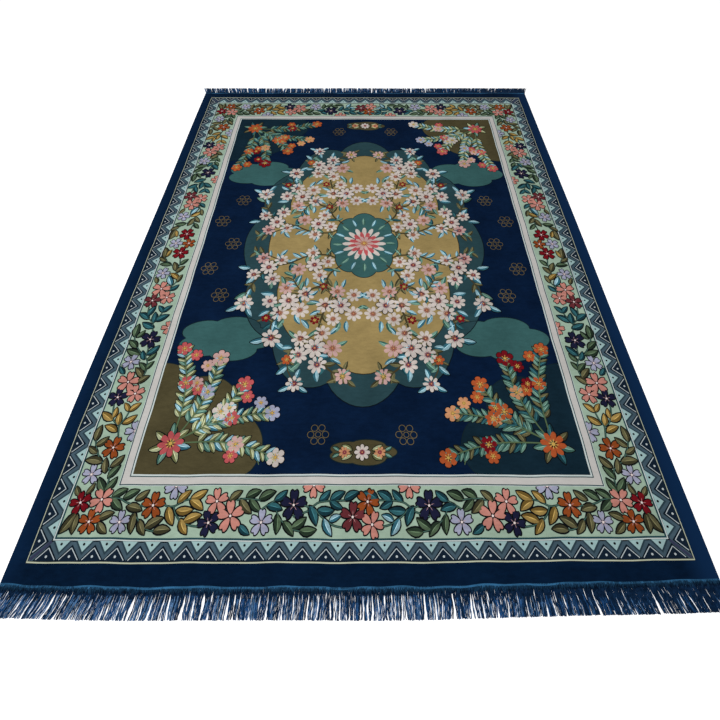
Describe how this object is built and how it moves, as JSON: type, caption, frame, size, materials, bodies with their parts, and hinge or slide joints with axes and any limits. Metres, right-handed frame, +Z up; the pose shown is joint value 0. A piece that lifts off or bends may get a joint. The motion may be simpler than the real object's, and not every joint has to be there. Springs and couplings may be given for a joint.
{
  "type": "japanese silk rug",
  "caption": "Flat knotted silk rug with a navy rim, a sawtooth band, a blossom-and-leaf border, a navy centre and a blue yarn fringe along both short ends.",
  "frame": {"origin": "centre of the rug's underside, on the floor", "axes": "+Z up out of the pile, Y along the rug's length from the near fringe to the far one, X across its width"},
  "size_m": [2.4769, 3.2565, 0.0127],
  "materials": {
    "pile": "short silk pile with a soft sheen",
    "fringe": "twisted silk yarn, slightly glossy"
  },
  "bodies": {
    "root": {"rug": "pile", "fringe_front": "fringe", "fringe_back": "fringe"}
  },
  "joints": []
}
